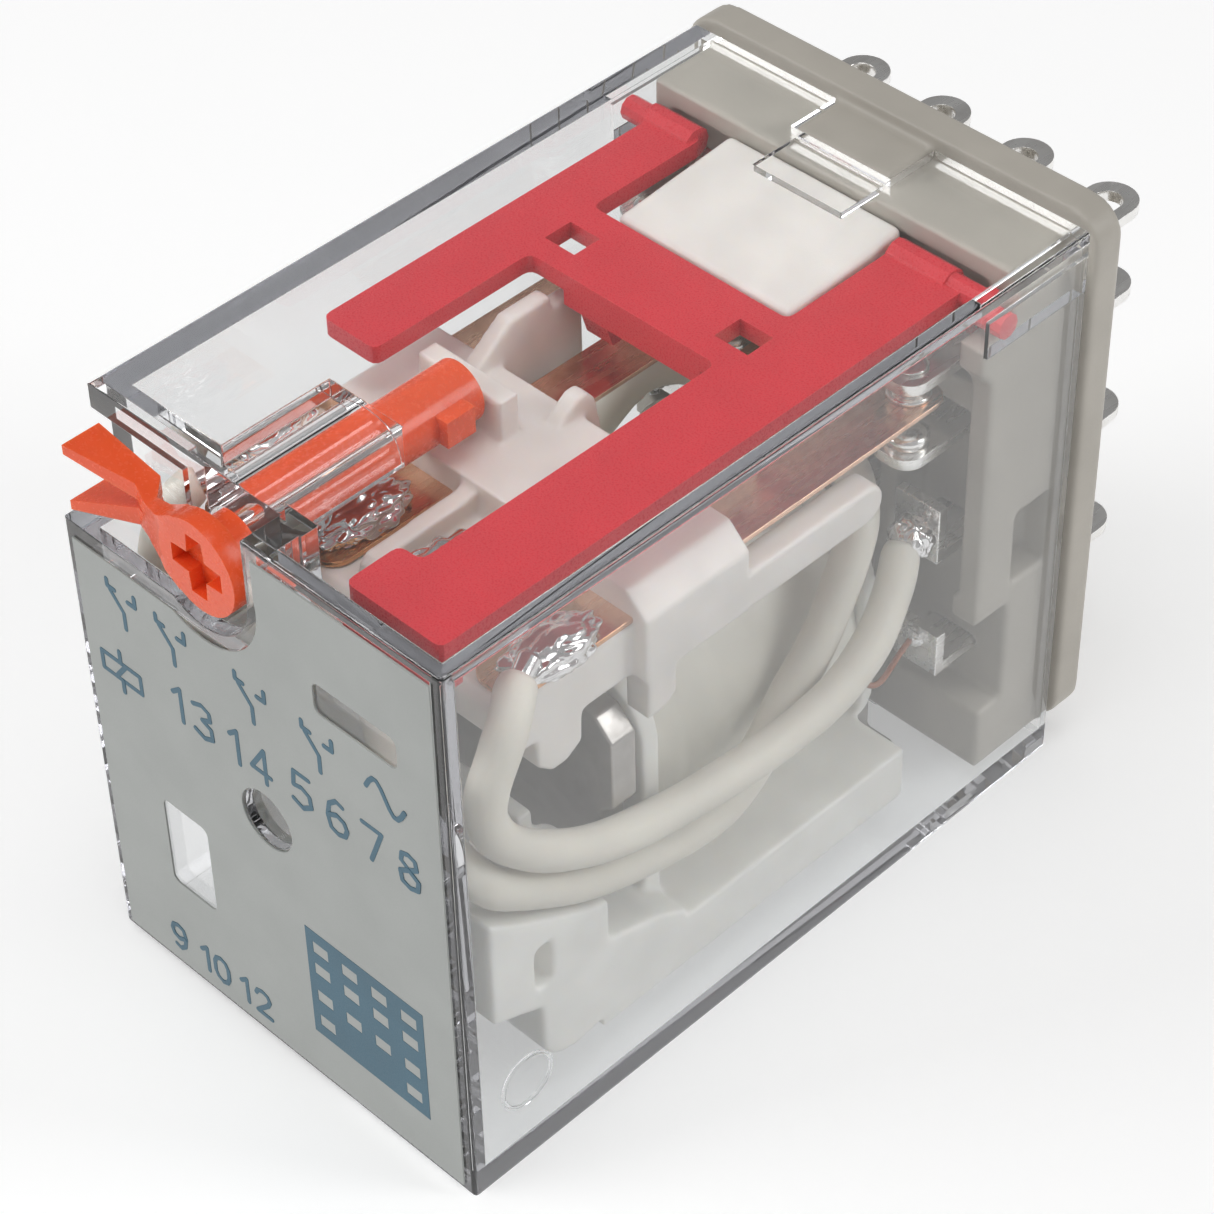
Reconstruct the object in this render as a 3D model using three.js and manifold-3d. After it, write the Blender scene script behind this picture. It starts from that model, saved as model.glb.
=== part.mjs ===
// Plug-in control relay: four changeover contacts in a clear cover, 14 blades, lying on its long side.
// Millimetres. X is the width, Y runs from the labelled front to the blades, Z is up.
import * as THREE from "three";
import { mergeVertices } from "three/addons/utils/BufferGeometryUtils.js";
import Module from "manifold-3d";

const wasm = await Module();
wasm.setup();

// ---- driving dimensions (Y counts from the front face of the cover, Z from its lowest face) ----
const GAP = 0.05; // clearance between neighbouring pieces
const COVER = { halfWidth: 10.35, length: 33.8, height: 27.4, wall: 0.9 };
const INNER = {
  halfWidth: COVER.halfWidth - COVER.wall,
  floor: COVER.wall,
  ceiling: COVER.height - COVER.wall,
};
const FLANGE = {
  halfWidth: 10.75,
  front: COVER.length + GAP,
  rear: 35.4,
  bottom: 1.5,
  top: 28.0,
  corner: 1.5,
};
const LABEL = { thickness: 0.1, margin: 0.5, bottom: 0.5, top: COVER.height - 0.55 };
const FLAG_WINDOW = { left: 3.6, right: 7.9, bottom: 21.5, top: 23.0 };
const LAMP_WINDOW = { left: -6.4, right: -3.8, bottom: 5.5, top: 10.1 };
const WINDOW_CORNER = 0.35;
const DIMPLE = { x: 0.1, z: 13.5, radius: 1.3, depth: 0.35 };
const PITCH = 4.4;
const POLES = [-1.5, -0.5, 0.5, 1.5].map((place) => place * PITCH);
const BETWEEN_POLES = [-PITCH, 0, PITCH];
const BLADE = {
  halfWidth: 1.15,
  thickness: 0.5,
  tip: 41.3,
  holeRadius: 0.6,
  holeFront: 38.9,
  holeRear: 40.0,
};
const ROW = { closed: 23.5, open: 19.4, common: 13.05, coil: 6.7 };
const STRIP = { closed: 22.7, open: 19.0, front: 26.2 };
const LUG = { common: 28.3, commonTop: 15.6, coil: 28.6, coilTop: 8.6 };
const CONTACT = { y: 27.4, radius: 0.9, shank: 0.5, rivet: 0.75 };
const SPRING = { z: 21.3, thickness: 0.25, halfWidth: 1.2, front: 5.0, rear: 28.6 };
const JOINT = { y: 7.3, halfWidth: 1.15, halfLength: 2.2, height: 0.85 };
const TEST = { x: -2.5, z: 24.4, shaft: 1.3, bore: 1.45, head: 2.05, headBack: 0.9, end: 13.0 };
const NOTCH = { right: 0.25, floor: 22.15, depth: 1.9, radius: 2.75 };
const POCKET = { right: -5.2, rear: 2.7, bottom: 22.6, top: 26.2 };
const SLEEVE = { halfWidth: 1.95, rear: 8.4, bottom: 24.6 };
const FLAG = { top: 25.5, bottom: 24.7, corner: 0.4, pivotY: 29.5, pivotZ: 25.2, pin: 0.55, pinEnd: 9.85 };
const INSULATOR = { left: -5.0, right: 4.1, front: 23.8, rear: 30.3, bottom: 23.5, top: 25.3, corner: 0.4 };
const ARMATURE = { front: 9.5, rear: 10.8, bottom: 3.2, top: 17.2, tongueTop: 20.4 };
const ARMATURE_HALF = { foot: 5.8, waist: 7.4, wide: 8.1, tongue: 3.0 };
const COIL = { z: 9.6, radius: 6.1, tube: 3.6, bore: 2.9, core: 2.8, front: 13.05, rear: 25.55 };
const POLE = { front: 11.26, rear: 11.95, radius: 3.9, neck: 1.75 };
const YOKE = {
  halfWidth: 6.4,
  front: 9.7,
  rear: 27.8,
  bottom: 1.05,
  thickness: 1.35,
  backHalf: 5.0,
  backTop: 12.4,
};
const FOOT = { inner: 6.0, outer: 8.85, bottom: 2.5 };
const BASE = { halfWidth: 9.35, body: 31.0, bottom: 1.4, top: 26.4, barrierFront: 28.9 };
const CARD = {
  halfWidth: 8.5,
  slabHalf: 7.75,
  slabFront: 4.6,
  deckFront: 11.0,
  deckRear: 16.5,
  bottom: 18.7,
  slabTop: 21.22,
  top: 22.7,
};
const RIB_HALF = 0.4; // half the thickness of the thin walls between neighbouring poles
const LEAD = { radius: 0.8, sides: 8, steps: 36 };

// ---- colours ----
function finish(color, roughness, metalness = 0, extra = {}) {
  return new THREE.MeshStandardMaterial({ color, roughness, metalness, ...extra });
}
const CLEAR = finish(0xe9eef0, 0.05, 0, { transparent: true, opacity: 0.3 });
const LABEL_GREY = finish(0xa6a9a6, 0.5);
const BASE_GREY = finish(0xb8b4a8, 0.55);
const WHITE = finish(0xe9e7e0, 0.45);
const TAPE = finish(0xdbd9cc, 0.6);
const RED = finish(0xd23b42, 0.4);
const ORANGE = finish(0xe5552f, 0.35);
const COPPER = finish(0xb9826a, 0.3, 1);
const SILVER = finish(0xc9c9c6, 0.25, 1);
const SOLDER = finish(0xb5b3b2, 0.2, 1);
const IRON = finish(0x77736f, 0.4, 1);
const SLEEVING = finish(0xdedbd0, 0.6);

// ---- solids ----
function solid(geometry) {
  const bare = geometry.clone();
  bare.deleteAttribute("normal");
  bare.deleteAttribute("uv");
  const merged = mergeVertices(bare, 1e-5);
  return new wasm.Manifold(
    new wasm.Mesh({
      numProp: 3,
      vertProperties: new Float32Array(merged.attributes.position.array),
      triVerts: new Uint32Array(merged.index.array),
    }),
  );
}

function geometryOf(manifold) {
  const mesh = manifold.getMesh();
  const geometry = new THREE.BufferGeometry();
  geometry.setAttribute("position", new THREE.BufferAttribute(new Float32Array(mesh.vertProperties), 3));
  geometry.setIndex(new THREE.BufferAttribute(new Uint32Array(mesh.triVerts), 1));
  geometry.computeVertexNormals();
  return geometry;
}

function join(...parts) {
  return parts.reduce((whole, part) => whole.add(part));
}

function cut(body, ...tools) {
  return tools.reduce((rest, tool) => rest.subtract(tool), body);
}

function box(x0, x1, y0, y1, z0, z1) {
  const geometry = new THREE.BoxGeometry(x1 - x0, y1 - y0, z1 - z0);
  geometry.translate((x0 + x1) / 2, (y0 + y1) / 2, (z0 + z1) / 2);
  return solid(geometry);
}

function outline(points) {
  if (points instanceof THREE.Shape) return points;
  return new THREE.Shape(points.map(([u, v]) => new THREE.Vector2(u, v)));
}

function extrude(points, depth, segments) {
  return new THREE.ExtrudeGeometry(outline(points), { depth, bevelEnabled: false, curveSegments: segments });
}

function alongZ(points, z0, z1, segments = 8) {
  const geometry = extrude(points, z1 - z0, segments);
  geometry.translate(0, 0, z0);
  return solid(geometry);
}

function alongY(points, y0, y1, segments = 8) {
  const geometry = extrude(points, y1 - y0, segments);
  geometry.rotateX(Math.PI / 2);
  geometry.translate(0, y1, 0);
  return solid(geometry);
}

function alongX(points, x0, x1, segments = 8) {
  const geometry = extrude(points, x1 - x0, segments);
  const [ex, ey, ez] = [new THREE.Vector3(1, 0, 0), new THREE.Vector3(0, 1, 0), new THREE.Vector3(0, 0, 1)];
  geometry.applyMatrix4(new THREE.Matrix4().makeBasis(ey, ez, ex));
  geometry.translate(x0, 0, 0);
  return solid(geometry);
}

function disc(u, v, radius) {
  const shape = new THREE.Shape();
  shape.absarc(u, v, radius, 0, 2 * Math.PI);
  return shape;
}

function roundedRect(u0, u1, v0, v1, r) {
  const shape = new THREE.Shape();
  shape.moveTo(u0 + r, v0);
  shape.lineTo(u1 - r, v0);
  shape.absarc(u1 - r, v0 + r, r, -Math.PI / 2, 0);
  shape.lineTo(u1, v1 - r);
  shape.absarc(u1 - r, v1 - r, r, 0, Math.PI / 2);
  shape.lineTo(u0 + r, v1);
  shape.absarc(u0 + r, v1 - r, r, Math.PI / 2, Math.PI);
  shape.lineTo(u0, v0 + r);
  shape.absarc(u0 + r, v0 + r, r, Math.PI, 1.5 * Math.PI);
  return shape;
}

// An outline whose corners are rounded off, each over a length r of its two edges.
function softOutline(points, r) {
  const corners = points.map(([u, v]) => new THREE.Vector2(u, v));
  const shape = new THREE.Shape();
  corners.forEach((corner, i) => {
    const before = corners[(i + corners.length - 1) % corners.length];
    const after = corners[(i + 1) % corners.length];
    const start = corner.clone().add(before.clone().sub(corner).setLength(r));
    const end = corner.clone().add(after.clone().sub(corner).setLength(r));
    if (i === 0) shape.moveTo(start.x, start.y);
    else shape.lineTo(start.x, start.y);
    shape.quadraticCurveTo(corner.x, corner.y, end.x, end.y);
  });
  shape.closePath();
  return shape;
}

// The same solid on both sides of the middle plane X = 0.
function bothSides(part) {
  return join(part, part.mirror([1, 0, 0]));
}

// ---- the assembly ----
const relay = new THREE.Group();
const assembly = new THREE.Group();
assembly.position.y = -(BLADE.tip - LABEL.thickness) / 2;
relay.add(assembly);

function place(name, manifold, material) {
  const mesh = new THREE.Mesh(geometryOf(manifold), material);
  mesh.name = name;
  assembly.add(mesh);
}

// Clear cover: open at the rear, with a notch for the test lever and a channel that guides its shaft.
function clearCover() {
  const w = COVER.halfWidth;
  const shell = cut(
    box(-w, w, 0, COVER.length, 0, COVER.height),
    box(-INNER.halfWidth, INNER.halfWidth, COVER.wall, COVER.length + 1, INNER.floor, INNER.ceiling),
  );
  const under = NOTCH.floor - 1.25;
  const notchWall = box(-w, NOTCH.right + 1.0, NOTCH.depth, POCKET.rear, under, INNER.ceiling);
  const notchFloor = box(-w, NOTCH.right + COVER.wall, 0, POCKET.rear, under, COVER.height);
  const pocketBack = box(-w, POCKET.right + 1.0, NOTCH.depth, POCKET.rear + 0.5, NOTCH.floor, INNER.ceiling);
  const sleeve = box(
    TEST.x - SLEEVE.halfWidth,
    TEST.x + SLEEVE.halfWidth,
    NOTCH.depth,
    SLEEVE.rear,
    SLEEVE.bottom,
    INNER.ceiling,
  );
  const topPad = box(-2.3, 2.3, 28.7, 31.1, INNER.ceiling - 0.35, INNER.ceiling + 0.1);
  const lip = box(-7.5, 7.5, COVER.length - 0.1, 35.0, 0, 1.3);
  const hollows = [
    box(-w - 1, TEST.x, -1, NOTCH.depth, NOTCH.floor, COVER.height + 1),
    box(TEST.x - 0.1, NOTCH.right, -1, NOTCH.depth, TEST.z, COVER.height + 1),
    alongY(disc(TEST.x, TEST.z, NOTCH.radius), -1, NOTCH.depth, 20),
    box(-w - 1, POCKET.right, 1, POCKET.rear, POCKET.bottom, POCKET.top),
    alongY(disc(TEST.x, TEST.z, TEST.bore), 1, SLEEVE.rear + 1, 16),
    box(-2.6, 2.6, 31.2, COVER.length + 1, INNER.ceiling - 0.2, COVER.height + 1),
    box(-3.2, 3.2, 30.4, 32.4, -1, 0.5),
    alongY(disc(DIMPLE.x, DIMPLE.z, DIMPLE.radius), -1, DIMPLE.depth, 16),
  ];
  const pinGrooves = bothSides(box(INNER.halfWidth - 0.2, 9.95, 28.2, COVER.length + 1, 24.4, 26.1));
  return cut(join(shell, notchWall, notchFloor, pocketBack, sleeve, topPad, lip), ...hollows, pinGrooves);
}
place("clear_cover", clearCover(), CLEAR);

// Printed front label, with its see-through windows.
function frontLabel() {
  const edge = COVER.halfWidth - LABEL.margin;
  const sheet = box(-edge, edge, -LABEL.thickness, -0.01, LABEL.bottom, LABEL.top);
  const [flagWindow, lampWindow] = [FLAG_WINDOW, LAMP_WINDOW].map(({ left, right, bottom, top }) =>
    alongY(roundedRect(left, right, bottom, top, WINDOW_CORNER), -1, 1, 5));
  const windows = [
    box(-edge - 1, TEST.x, -1, 1, NOTCH.floor - 0.7, COVER.height),
    box(TEST.x - 0.1, NOTCH.right + 0.55, -1, 1, TEST.z, COVER.height),
    alongY(disc(TEST.x, TEST.z, NOTCH.radius + 0.6), -1, 1, 20),
    alongY(disc(DIMPLE.x, DIMPLE.z, DIMPLE.radius + 0.1), -1, 1, 16),
    flagWindow,
    lampWindow,
  ];
  return cut(sheet, ...windows);
}
place("front_label", frontLabel(), LABEL_GREY);

// Terminals: a blade behind the base, bent to a contact strip or a solder lug in front of it.
const HALF = BLADE.thickness / 2;
const stripProfile = (row, strip, grow = 0) => [
  [STRIP.front, strip + HALF + grow],
  [30.4, strip + HALF + grow],
  [31.2, row + HALF + grow],
  [BLADE.tip, row + HALF + grow],
  [BLADE.tip, row - HALF - grow],
  [31.4, row - HALF - grow],
  [30.6, strip - HALF - grow],
  [STRIP.front, strip - HALF - grow],
];
const lugProfile = (row, front, top) => [
  [BLADE.tip, row + HALF],
  [front + BLADE.thickness, row + HALF],
  [front + BLADE.thickness, top],
  [front, top],
  [front, row - HALF],
  [BLADE.tip, row - HALF],
];

function bladePlan(x, front, frontRadius) {
  const shape = new THREE.Shape();
  const [w, r] = [BLADE.halfWidth, frontRadius];
  shape.moveTo(x - w, front + r);
  shape.absarc(x - w + r, front + r, r, Math.PI, 1.5 * Math.PI);
  shape.absarc(x + w - r, front + r, r, 1.5 * Math.PI, 2 * Math.PI);
  shape.absarc(x, BLADE.tip - w, w, 0, Math.PI);
  const slot = new THREE.Path();
  slot.absarc(x, BLADE.holeRear, BLADE.holeRadius, 0, Math.PI);
  slot.absarc(x, BLADE.holeFront, BLADE.holeRadius, Math.PI, 2 * Math.PI);
  shape.holes.push(slot);
  return shape;
}

function terminal(x, profile, front, frontRadius) {
  const side = alongX(profile, x - BLADE.halfWidth - 1, x + BLADE.halfWidth + 1);
  return side.intersect(alongZ(bladePlan(x, front, frontRadius), 0, COVER.height, 8));
}

// A hole, a headed contact or a rivet on the vertical line through a pole's contact point.
function pillar(x, radius, z0, z1) {
  return alongZ(disc(x, CONTACT.y, radius), z0, z1, 8);
}

POLES.forEach((x, i) => {
  const n = i + 1;
  const hole = pillar(x, CONTACT.shank + 0.03, 0, COVER.height);
  const closed = terminal(x, stripProfile(ROW.closed, STRIP.closed), STRIP.front, 0.9);
  const open = terminal(x, stripProfile(ROW.open, STRIP.open), STRIP.front, 0.9);
  place(`nc_terminal_${n}`, cut(closed, hole), SILVER);
  place(`no_terminal_${n}`, cut(open, hole), SILVER);
  const common = terminal(x, lugProfile(ROW.common, LUG.common, LUG.commonTop), LUG.common, 0.05);
  place(`com_terminal_${n}`, common, SILVER);
});
[POLES[0], POLES[3]].forEach((x, i) => {
  const coil = terminal(x, lugProfile(ROW.coil, LUG.coil, LUG.coilTop), LUG.coil, 0.05);
  place(`coil_terminal_${i + 1}`, coil, SILVER);
});

// Contact rivets: fixed ones on the strips, moving ones through the springs.
const SPRING_TOP = SPRING.z + SPRING.thickness;
POLES.forEach((x, i) => {
  const n = i + 1;
  const r = CONTACT.radius;
  const closedUnder = STRIP.closed - HALF;
  const openTop = STRIP.open + HALF;
  const movingTop = SPRING_TOP + 0.3;
  place(
    `nc_contact_${n}`,
    join(
      pillar(x, r, movingTop + 0.03, closedUnder - 0.02),
      pillar(x, CONTACT.shank, closedUnder - 0.1, STRIP.closed + HALF + 0.1),
      pillar(x, CONTACT.rivet, STRIP.closed + HALF + 0.02, STRIP.closed + HALF + 0.2),
    ),
    SILVER,
  );
  place(
    `no_contact_${n}`,
    join(
      pillar(x, r, openTop + 0.02, openTop + 0.65),
      pillar(x, CONTACT.shank, STRIP.open - HALF - 0.1, openTop + 0.1),
      pillar(x, CONTACT.rivet, STRIP.open - HALF - 0.2, STRIP.open - HALF - 0.02),
    ),
    SILVER,
  );
  place(
    `moving_contact_${n}`,
    join(
      pillar(x, r, SPRING_TOP + 0.02, movingTop),
      pillar(x, CONTACT.shank, SPRING.z - 0.1, SPRING_TOP + 0.1),
      pillar(x, r, SPRING.z - 0.6, SPRING.z - 0.02),
    ),
    SILVER,
  );
});

// Leaf springs with rounded ends, and the solder that joins each one to its lead.
function leafSpring(x) {
  const [w, f, r] = [SPRING.halfWidth, SPRING.front, SPRING.rear];
  const plan = roundedRect(x - w, x + w, f, r, 0.9);
  return cut(
    alongZ(plan, SPRING.z, SPRING_TOP, 4),
    pillar(x, CONTACT.shank + 0.03, SPRING.z - 1, SPRING_TOP + 1),
  );
}

function solderJoint(x, grow = 0) {
  const blob = new THREE.SphereGeometry(1, 12, 8);
  blob.scale(JOINT.halfWidth + grow, JOINT.halfLength + grow, JOINT.height + grow);
  blob.translate(x, JOINT.y, SPRING_TOP + 0.25);
  return cut(solid(blob), box(x - 2, x + 2, 4, 10, SPRING.z - 2, SPRING_TOP + 0.02));
}
POLES.forEach((x, i) => {
  place(`leaf_spring_${i + 1}`, leafSpring(x), COPPER);
  place(`spring_solder_${i + 1}`, solderJoint(x), SOLDER);
});

// Contact carrier: the moulded card that holds the springs and rides on the armature.
function contactCarrier() {
  const w = CARD.halfWidth;
  const chamfer = 1.0;
  const deck = alongY(
    [[-w, CARD.bottom], [w, CARD.bottom], [w, CARD.top - chamfer], [w - chamfer, CARD.top],
      [-w + chamfer, CARD.top], [-w, CARD.top - chamfer]],
    CARD.deckFront,
    CARD.deckRear,
  );
  const slab = alongX(
    [[CARD.slabFront, 19.6], [5.4, CARD.bottom], [CARD.deckFront + 0.1, CARD.bottom],
      [CARD.deckFront + 0.1, CARD.slabTop], [5.0, CARD.slabTop], [CARD.slabFront, 20.8]],
    -CARD.slabHalf,
    CARD.slabHalf,
  );
  const pushWall = box(-5.1, -0.6, TEST.end + 0.2, TEST.end + 1.2, CARD.top - 0.1, 24.6);
  const ribSide = [[5.7, 21.1], [11.1, 21.1], [11.1, 22.4], [10.2, 22.25], [6.1, 22.15], [5.7, 21.8]];
  const lowSide = [[16.4, 18.9], [17.9, 18.9], [17.5, 21.4], [17.2, 23.1], [16.8, 23.6], [16.3, 23.6],
    [15.0, 22.6]];
  const tallSide = [[16.4, 18.9], [20.9, 18.9], [20.9, 23.85], [19.25, 23.85], [19.25, 24.45], [17.2, 24.45],
    [14.6, 22.6]];
  const ribs = BETWEEN_POLES.map((x) => alongX(ribSide, x - RIB_HALF, x + RIB_HALF));
  const barriers = BETWEEN_POLES.map((x) =>
    alongX(x === 0 ? lowSide : tallSide, x - RIB_HALF, x + RIB_HALF));
  const toothSide = [[6.1, 18.8], [6.2, 17.3], [6.9, 16.7], [7.6, 16.7], [8.4, 17.2], [8.5, 18.8]];
  const tooth = alongX(toothSide, 6.6, CARD.slabHalf);
  const cheek = alongX([[11.1, 18.8], [11.1, 16.8], [12.0, 16.8], [12.6, 17.3], [12.6, 18.8]], 7.3, w);
  const arm = alongX(roundedRect(16.0, 23.9, 18.75, 20.55, 0.85), 7.3, w, 5);
  const slotHalf = SPRING.halfWidth + 0.03;
  const springSlots = POLES.map((x) =>
    box(x - slotHalf, x + slotHalf, 4, 24, SPRING.z - 0.03, SPRING_TOP + 0.03));
  const tongue = ARMATURE_HALF.tongue + GAP;
  const [slotFront, slotRear] = [ARMATURE.front - GAP, ARMATURE.rear + GAP];
  const armatureSlot = box(-tongue, tongue, slotFront, slotRear, 18, ARMATURE.tongueTop + GAP);
  const body = join(deck, slab, pushWall, ...ribs, ...barriers, bothSides(join(tooth, cheek, arm)));
  return cut(body, ...springSlots, armatureSlot);
}
place("contact_carrier", contactCarrier(), WHITE);

// Magnet: armature plate, core with pole face and shading ring, yoke, hinge spring.
function armaturePlate() {
  const a = ARMATURE;
  const w = ARMATURE_HALF;
  const half = [[w.foot, a.bottom], [w.foot, 8.2], [w.waist, 9.4], [w.waist, 12.4], [w.wide, 13.0],
    [w.wide, a.top - 0.9], [w.wide - 0.9, a.top], [w.tongue, a.top], [w.tongue, a.tongueTop]];
  const mirrored = half.map(([x, z]) => [-x, z]).reverse();
  return alongY([...half, ...mirrored], a.front, a.rear);
}
place("armature_plate", armaturePlate(), IRON);

function dShape(radius, flat) {
  const shape = new THREE.Shape();
  const angle = Math.acos(flat / radius);
  shape.absarc(0, COIL.z, radius, angle, 2 * Math.PI - angle);
  shape.lineTo(flat, COIL.z + radius * Math.sin(angle));
  return shape;
}
function shadingRing(grow, front, rear) {
  const outer = alongY(dShape(3.1 + grow, 0.9 + grow), front, rear, 10);
  return cut(outer, alongY(dShape(2.5 - grow, 0.3 - grow), front - 1, rear + 1, 10));
}
function poleCore() {
  const body = join(
    alongY(disc(0, COIL.z, POLE.radius), POLE.front, POLE.rear, 12),
    alongY(disc(0, COIL.z, COIL.core), POLE.rear - 0.1, 26.45, 12),
    alongY(disc(0, COIL.z, POLE.neck), 26.4, YOKE.rear + 0.1, 8),
  );
  return cut(body, shadingRing(0.04, POLE.front - 1, POLE.front + 0.6));
}
place("pole_core", poleCore(), IRON);
place("shading_ring", shadingRing(0, POLE.front + 0.02, POLE.front + 0.55), COPPER);

function yoke() {
  const { halfWidth, front, rear, bottom, thickness, backHalf, backTop } = YOKE;
  const floorPlate = box(-halfWidth, halfWidth, front, rear, bottom, bottom + thickness);
  const backPlate = box(-backHalf, backHalf, 26.5, rear, bottom, backTop);
  return cut(join(floorPlate, backPlate), alongY(disc(0, COIL.z, POLE.neck + GAP), 26, 29, 8));
}
place("yoke", yoke(), IRON);

function hingeSpring() {
  return alongX([[9.2, 2.45], [11.9, 2.45], [11.9, 2.65], [9.4, 2.65], [9.4, 8.4], [9.2, 8.4]], -2.2, 2.2);
}
place("hinge_spring", hingeSpring(), SILVER);

// Coil: bobbin with a cradle round the armature's foot, taped winding, and its two wires.
function bobbin() {
  const frontFlange = alongY(roundedRect(-7.2, 7.2, FOOT.bottom, 16.2, 2.6), 12.0, 13.0, 5);
  const rearFlange = alongY(roundedRect(-6.4, 6.4, FOOT.bottom + 0.1, 15.8, 4.2), 25.6, 26.4, 6);
  const tube = alongY(disc(0, COIL.z, COIL.tube), 12.5, 26.0, 12);
  const skirt = bothSides(box(5.0, FOOT.outer, 12.6, 25.6, FOOT.bottom, 5.2));
  const cheekFront = [[2.3, 7.3], [4.9, 6.2], [4.9, 14.0], [3.0, 14.0], [2.3, 13.4]];
  const cheekColumn = roundedRect(4.8, 8.5, 2.8, 12.4, 1.5);
  const cheekRear = [[8.0, FOOT.bottom], [12.7, FOOT.bottom], [12.7, 5.6], [11.2, 6.4], [8.0, 7.4]];
  const cheeks = [cheekFront, cheekColumn, cheekRear].map((side) =>
    bothSides(alongX(side, FOOT.inner, FOOT.outer, 5)));
  const crossWall = box(-FOOT.inner - 0.2, FOOT.inner + 0.2, 6.4, 7.2, 4.6, 13.4);
  const bore = alongY(disc(0, COIL.z, COIL.bore), 11, 28, 12);
  const windingRoom = alongY(disc(0, COIL.z, COIL.radius + GAP), COIL.front - 0.03, COIL.rear + 0.03, 16);
  const outside = join(frontFlange, rearFlange, skirt, ...cheeks, crossWall);
  const belowLead = [[1, 14.1], [2.4, 12.7], [4.0, 11.6], [7.4, 9.7], [11.3, 8.5], [12.1, 8.4], [12.1, 20],
    [1, 20]];
  const leadRoom = bothSides(alongX(belowLead, 7.3, 10));
  const sidePocket = bothSides(box(7.7, 10, 4.6, 5.4, 7.4, 9.6));
  return cut(join(cut(outside, windingRoom, leadRoom, sidePocket), tube), bore);
}
place("coil_bobbin", bobbin(), WHITE);

function winding() {
  const shape = disc(0, COIL.z, COIL.radius);
  shape.holes.push(new THREE.Path().absarc(0, COIL.z, COIL.tube + GAP, 0, 2 * Math.PI));
  return alongY(shape, COIL.front, COIL.rear, 20);
}
place("taped_winding", winding(), TAPE);

// Grey base with the rear flange: every blade passes through it.
function terminalBase() {
  const w = BASE.halfWidth;
  const f = FLANGE;
  const into = BASE.body + 0.1;
  const flangeOutline = roundedRect(-f.halfWidth, f.halfWidth, f.bottom, f.top, f.corner);
  const flange = alongY(flangeOutline, f.front, f.rear, 4);
  const core = box(-w, w, BASE.body, f.front + 0.1, BASE.bottom, BASE.top);
  const roof = box(-w, w, 30.4, into, 25.35, BASE.top);
  const latch = box(-2.5, 2.5, 31.25, f.front + 0.1, 26.3, COVER.height);
  const sideWalls = bothSides(box(8.3, w, 29.0, into, 10.9, 24.2));
  const sideTop = bothSides(box(8.3, w, 30.4, into, 24.0, 25.5));
  const bossSide = [[28.4, 24.4], [28.4, 23.2], [29.8, 21.6], [32.4, 21.6], [32.4, 24.4]];
  const bosses = bothSides(alongX(bossSide, 8.1, w));
  const lowerBlock = box(-w, w, 29.6, into, BASE.bottom, 4.6);
  const shelves = bothSides(box(8.0, w, 29.0, into, 9.9, 11.0));
  const barriers = BETWEEN_POLES.map((x) =>
    box(x - RIB_HALF, x + RIB_HALF, BASE.barrierFront, into, 11.4, 23.3));
  const ledge = box(-8.2, 8.2, 29.4, into, 20.2, 21.6);
  const windows = bothSides(box(8.0, w + 1, 31.2, 33.4, 10.9, 14.6));
  const padRoom = box(-2.4, 2.4, 30, 31.2, INNER.ceiling - 0.4, COVER.height);
  const bladeRoom = BLADE.halfWidth + GAP;
  const straightSlot = (x, row) =>
    box(x - bladeRoom, x + bladeRoom, 28, BLADE.tip, row - HALF - GAP, row + HALF + GAP);
  const slots = POLES.flatMap((x) => [
    alongX(stripProfile(ROW.closed, STRIP.closed, GAP), x - bladeRoom, x + bladeRoom),
    alongX(stripProfile(ROW.open, STRIP.open, GAP), x - bladeRoom, x + bladeRoom),
    straightSlot(x, ROW.common),
  ]);
  const coilSlots = [POLES[0], POLES[3]].map((x) => straightSlot(x, ROW.coil));
  const sides = join(sideWalls, sideTop, bosses, shelves);
  const body = join(flange, core, roof, latch, sides, lowerBlock, ...barriers, ledge);
  return cut(body, windows, padRoom, ...slots, ...coilSlots);
}
place("terminal_base", terminalBase(), BASE_GREY);

// White insulating block between the flag's arms, held in the base.
function topInsulator() {
  const { left, right, front, rear, bottom, top, corner } = INSULATOR;
  return alongZ(roundedRect(left, right, front, rear, corner), bottom, top, 3);
}
place("top_insulator", topInsulator(), WHITE);

// Red indicator flag, swinging on two pins at its rear corners.
function indicatorFlag() {
  const f = FLAG;
  const plan = [[-8.4, 11.5], [-5.5, 11.5], [-5.5, 19.6], [4.3, 19.6], [4.3, 4.7], [3.2, 4.7], [3.2, 2.1],
    [8.05, 2.1], [8.05, 29.6], [4.4, 29.6], [4.4, 23.4], [-5.9, 23.4], [-5.9, 29.6], [-8.4, 29.6]];
  const plate = alongZ(softOutline(plan, f.corner), f.bottom, f.top, 3);
  const lip = box(3.6, 7.65, 2.1, 2.9, 23.9, f.bottom + 0.1);
  const rib = box(-3.7, 3.5, 19.6, 20.2, 24.0, f.bottom + 0.1);
  const prong = alongX([[19.7, 24.8], [21.6, 24.8], [20.9, 22.5], [20.4, 22.5]], -3.3, -1.9);
  const ridges = [[-8.6, -6.1], [4.4, 7.3]].map(([x0, x1]) =>
    alongX(disc(f.pivotY, f.pivotZ, 0.7), x0, x1, 5));
  const pins = [[-f.pinEnd, -8.2], [7.2, f.pinEnd]].map(([x0, x1]) =>
    alongX(disc(f.pivotY, f.pivotZ, f.pin), x0, x1, 5));
  const holes = [box(-5.8, -4.2, 20.7, 22.1, 23, 27), box(3.1, 4.8, 20.8, 22.2, 23, 27)];
  return cut(join(plate, lip, rib, prong, ...ridges, ...pins), ...holes);
}
place("indicator_flag", indicatorFlag(), RED);

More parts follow.
